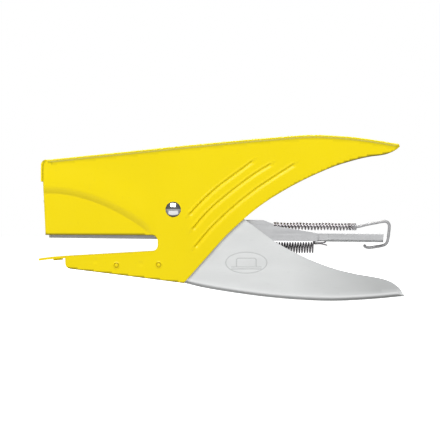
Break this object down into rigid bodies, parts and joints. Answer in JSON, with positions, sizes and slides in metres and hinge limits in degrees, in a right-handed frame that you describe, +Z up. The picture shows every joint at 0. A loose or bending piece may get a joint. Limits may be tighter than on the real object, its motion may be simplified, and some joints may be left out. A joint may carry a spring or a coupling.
{
  "type": "plier stapler",
  "caption": "Hand-held plier stapler: folded yellow steel body with anvil jaw and upper grip, grey pivoting lower handle, rear-loading magazine, rod follower and return spring.",
  "frame": {"origin": "clinch point on the top face of the anvil, midway between the cheeks, where a staple's legs are folded", "axes": "+X from the mouth towards the grips, +Z up from the jaw towards the head, the pivot rivet lies along Y"},
  "size_m": [0.1636, 0.0206, 0.0745],
  "materials": {
    "body_paint": "gloss yellow enamel on sheet steel",
    "handle_satin": "satin light grey coating",
    "bright_chrome": "polished",
    "zinc_steel": "zinc-plated sheet, fine grain",
    "blade_steel": "hardened, ground",
    "staple_wire": "galvanised wire",
    "spring_wire": "nickel-plated spring wire"
  },
  "bodies": {
    "frame": {"body_shell": "body_paint", "anvil_plate": "body_paint", "anvil_rivets": "body_paint", "pivot_rivet": "bright_chrome", "pivot_sleeve": "zinc_steel"},
    "handle": {"lower_handle": "handle_satin", "spring_seat": "zinc_steel", "seat_rivets": "zinc_steel", "driver_pin": "bright_chrome"},
    "driver": {"driver_blade": "blade_steel"},
    "magazine": {"magazine_channel": "zinc_steel", "magazine_nose": "zinc_steel", "staple_rail": "zinc_steel", "rail_rivets": "zinc_steel", "spring_bridge": "zinc_steel", "staple_strip": "staple_wire", "pressure_spring": "spring_wire", "return_spring": "spring_wire"},
    "rod": {"pusher_rod": "spring_wire", "rod_collar": "spring_wire", "pusher_spring": "spring_wire"},
    "pusher": {"pusher": "zinc_steel"},
    "hook": {"latch_hook": "spring_wire"}
  },
  "joints": [
    {"name": "handle_squeeze", "type": "hinge", "parent": "frame", "child": "handle", "pos_m": [0.0519, 0, 0.021], "axis": [0, -1, 0], "range_deg": [0, 13.6], "stiffness_Nm_per_rad": 0.35, "springref_deg": -14.32, "deforming": ["pressure_spring"]},
    {"name": "magazine_tilt", "type": "hinge", "parent": "frame", "child": "magazine", "pos_m": [0.0519, 0, 0.021], "axis": [0, -1, 0], "range_deg": [0, 7.2], "deforming": ["return_spring"]},
    {"name": "driver_swing", "type": "hinge", "parent": "handle", "child": "driver", "pos_m": [-0.00211, 0, 0.02471], "axis": [0, -1, 0], "range_deg": [-6.4, 0]},
    {"name": "rod_pull", "type": "slide", "parent": "magazine", "child": "rod", "axis": [0.9999, 0, -0.0131], "range_m": [0, 0.085]},
    {"name": "pusher_travel", "type": "slide", "parent": "rod", "child": "pusher", "axis": [0.9999, 0, -0.0131], "range_m": [0, 0.016], "stiffness_N_per_m": 60, "springref_m": -0.02, "deforming": ["pusher_spring"]},
    {"name": "hook_swing", "type": "hinge", "parent": "rod", "child": "hook", "pos_m": [0.13331, 0, 0.01333], "axis": [0.9999, 0, -0.0131], "range_deg": [0, 100]}
  ],
  "couplings": [
    {"joint": "magazine_tilt", "follows": "handle_squeeze", "ratio": 0.52941},
    {"joint": "driver_swing", "follows": "handle_squeeze", "ratio": -0.47059}
  ]
}
